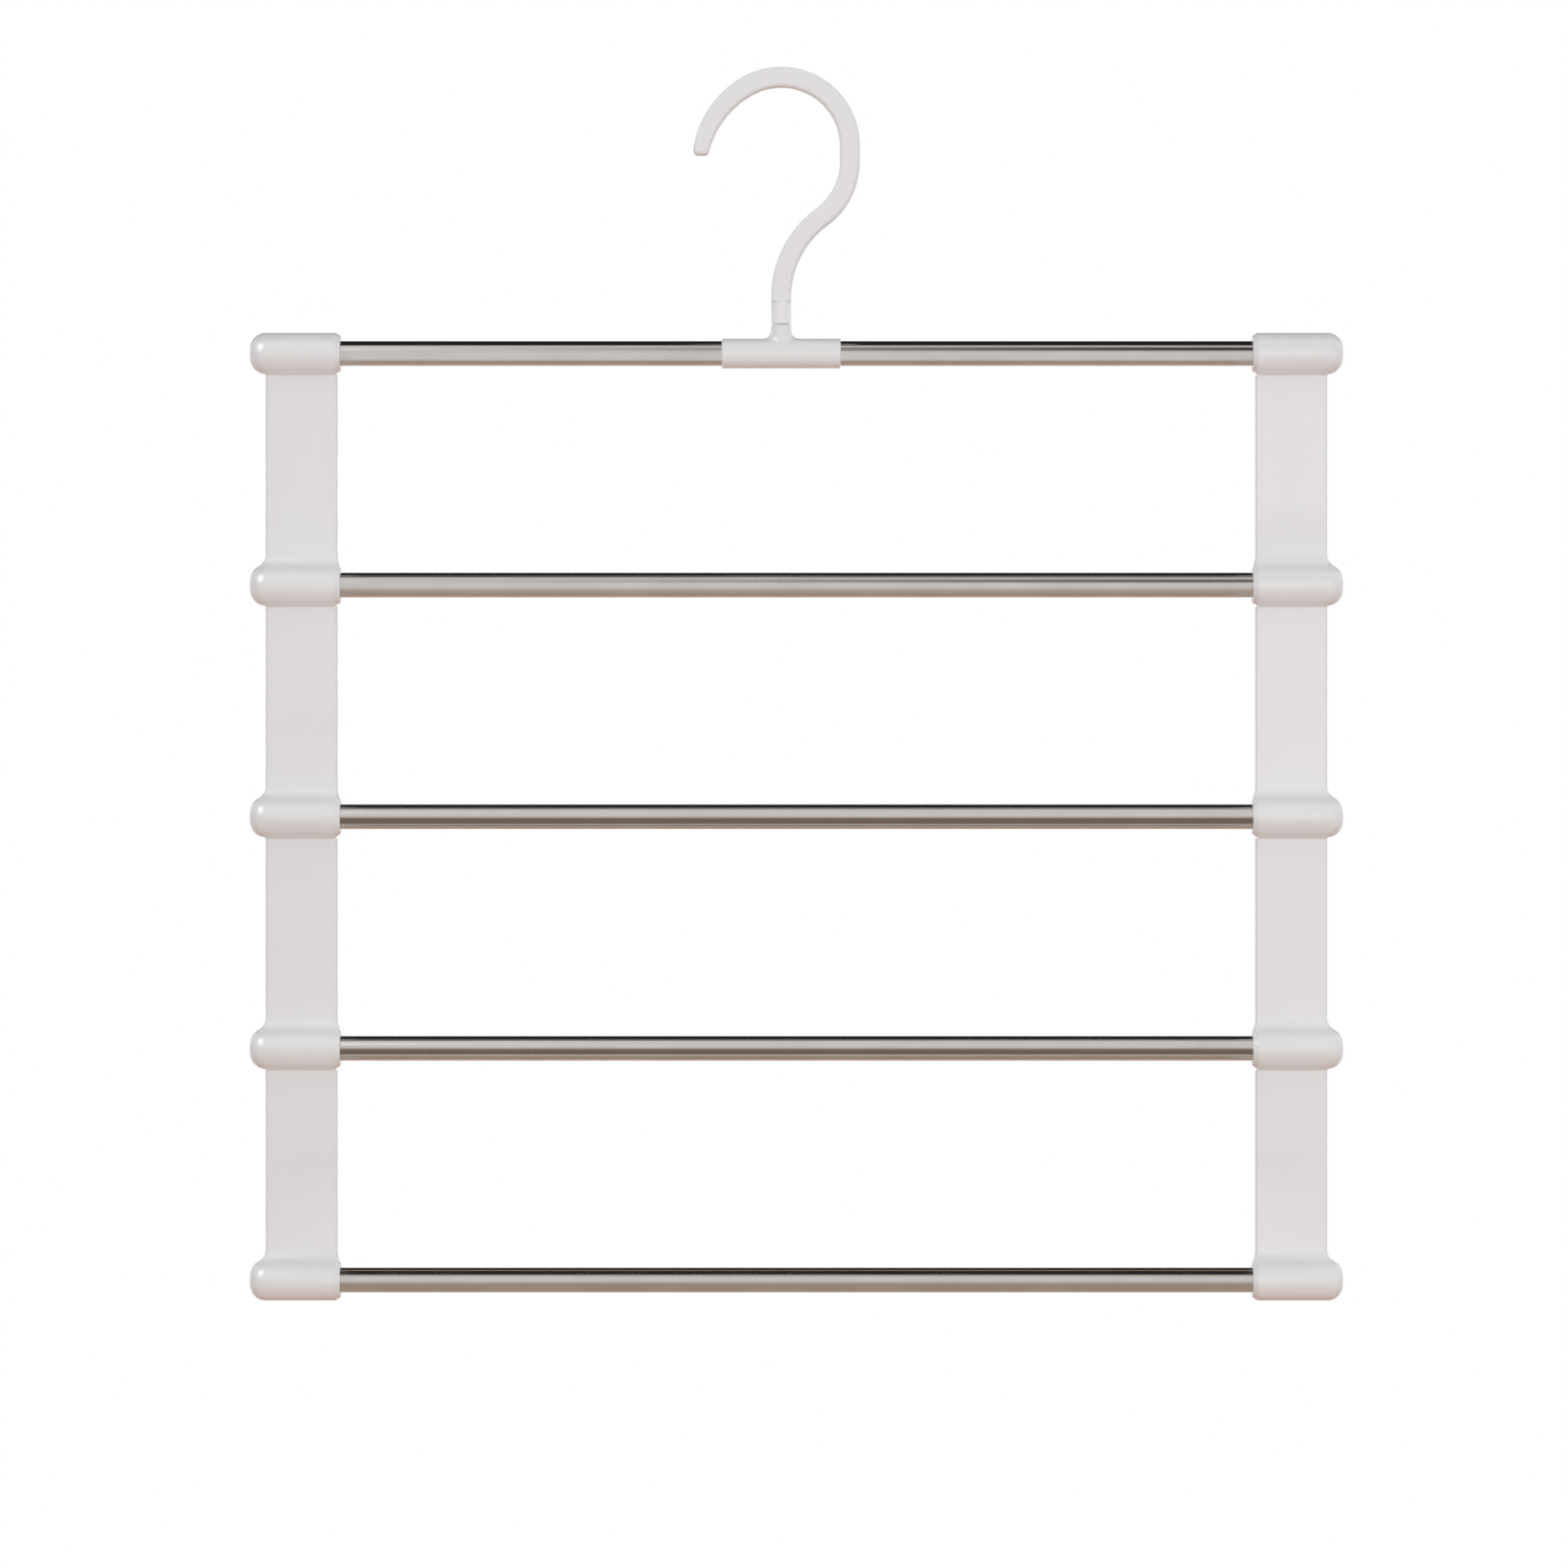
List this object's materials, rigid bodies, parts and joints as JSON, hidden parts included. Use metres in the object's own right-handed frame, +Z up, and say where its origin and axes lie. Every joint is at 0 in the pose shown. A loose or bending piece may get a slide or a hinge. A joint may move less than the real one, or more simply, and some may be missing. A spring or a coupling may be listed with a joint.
{
  "type": "pants hanger",
  "caption": "Hanging trouser rack of polished steel bars between flat moulded side links, each link hinged on the bar above, under a swivelling hook for a closet rod.",
  "frame": {"origin": "centre of the hook's crown, on the axis of the closet rod that it hangs on", "axes": "+X along the bars to the viewer's right, +Y to the back along the rod, +Z up"},
  "size_m": [0.35, 0.0161, 0.3951],
  "materials": {
    "hook_plastic": "moulded, fine matt texture, off-white",
    "collar_plastic": "moulded and polished, off-white",
    "link_plastic": "moulded, satin to glossy, off-white",
    "bar_steel": "drawn stainless tube, polished",
    "pin_steel": "turned and zinc plated",
    "washer_steel": "stamped and zinc plated"
  },
  "bodies": {
    "hook": {"hook": "hook_plastic", "neck_collar": "collar_plastic", "swivel_pin": "pin_steel"},
    "top_rail": {"top_bar": "bar_steel", "tee_sleeve": "link_plastic", "swivel_washer": "washer_steel", "top_cap_left": "link_plastic", "top_cap_right": "link_plastic"},
    "tier_2": {"bar_2": "bar_steel", "link_left_2": "link_plastic", "link_right_2": "link_plastic"},
    "tier_3": {"bar_3": "bar_steel", "link_left_3": "link_plastic", "link_right_3": "link_plastic"},
    "tier_4": {"bar_4": "bar_steel", "link_left_4": "link_plastic", "link_right_4": "link_plastic"},
    "tier_5": {"bar_5": "bar_steel", "link_left_5": "link_plastic", "link_right_5": "link_plastic"}
  },
  "joints": [
    {"name": "hook_swivel", "type": "hinge", "parent": "hook", "child": "top_rail", "pos_m": [0, 0, -0.0665], "axis": [0, 0, 1], "continuous": true},
    {"name": "tier_2_fold", "type": "hinge", "parent": "top_rail", "child": "tier_2", "pos_m": [0.0049, 0, -0.0665], "axis": [1, 0, 0], "range_deg": [0, 60]},
    {"name": "tier_3_fold", "type": "hinge", "parent": "tier_2", "child": "tier_3", "pos_m": [0.0049, 0, -0.1407], "axis": [1, 0, 0], "range_deg": [0, 60]},
    {"name": "tier_4_fold", "type": "hinge", "parent": "tier_3", "child": "tier_4", "pos_m": [0.0049, 0, -0.2149], "axis": [1, 0, 0], "range_deg": [0, 60]},
    {"name": "tier_5_fold", "type": "hinge", "parent": "tier_4", "child": "tier_5", "pos_m": [0.0049, 0, -0.2891], "axis": [1, 0, 0], "range_deg": [0, 60]}
  ]
}
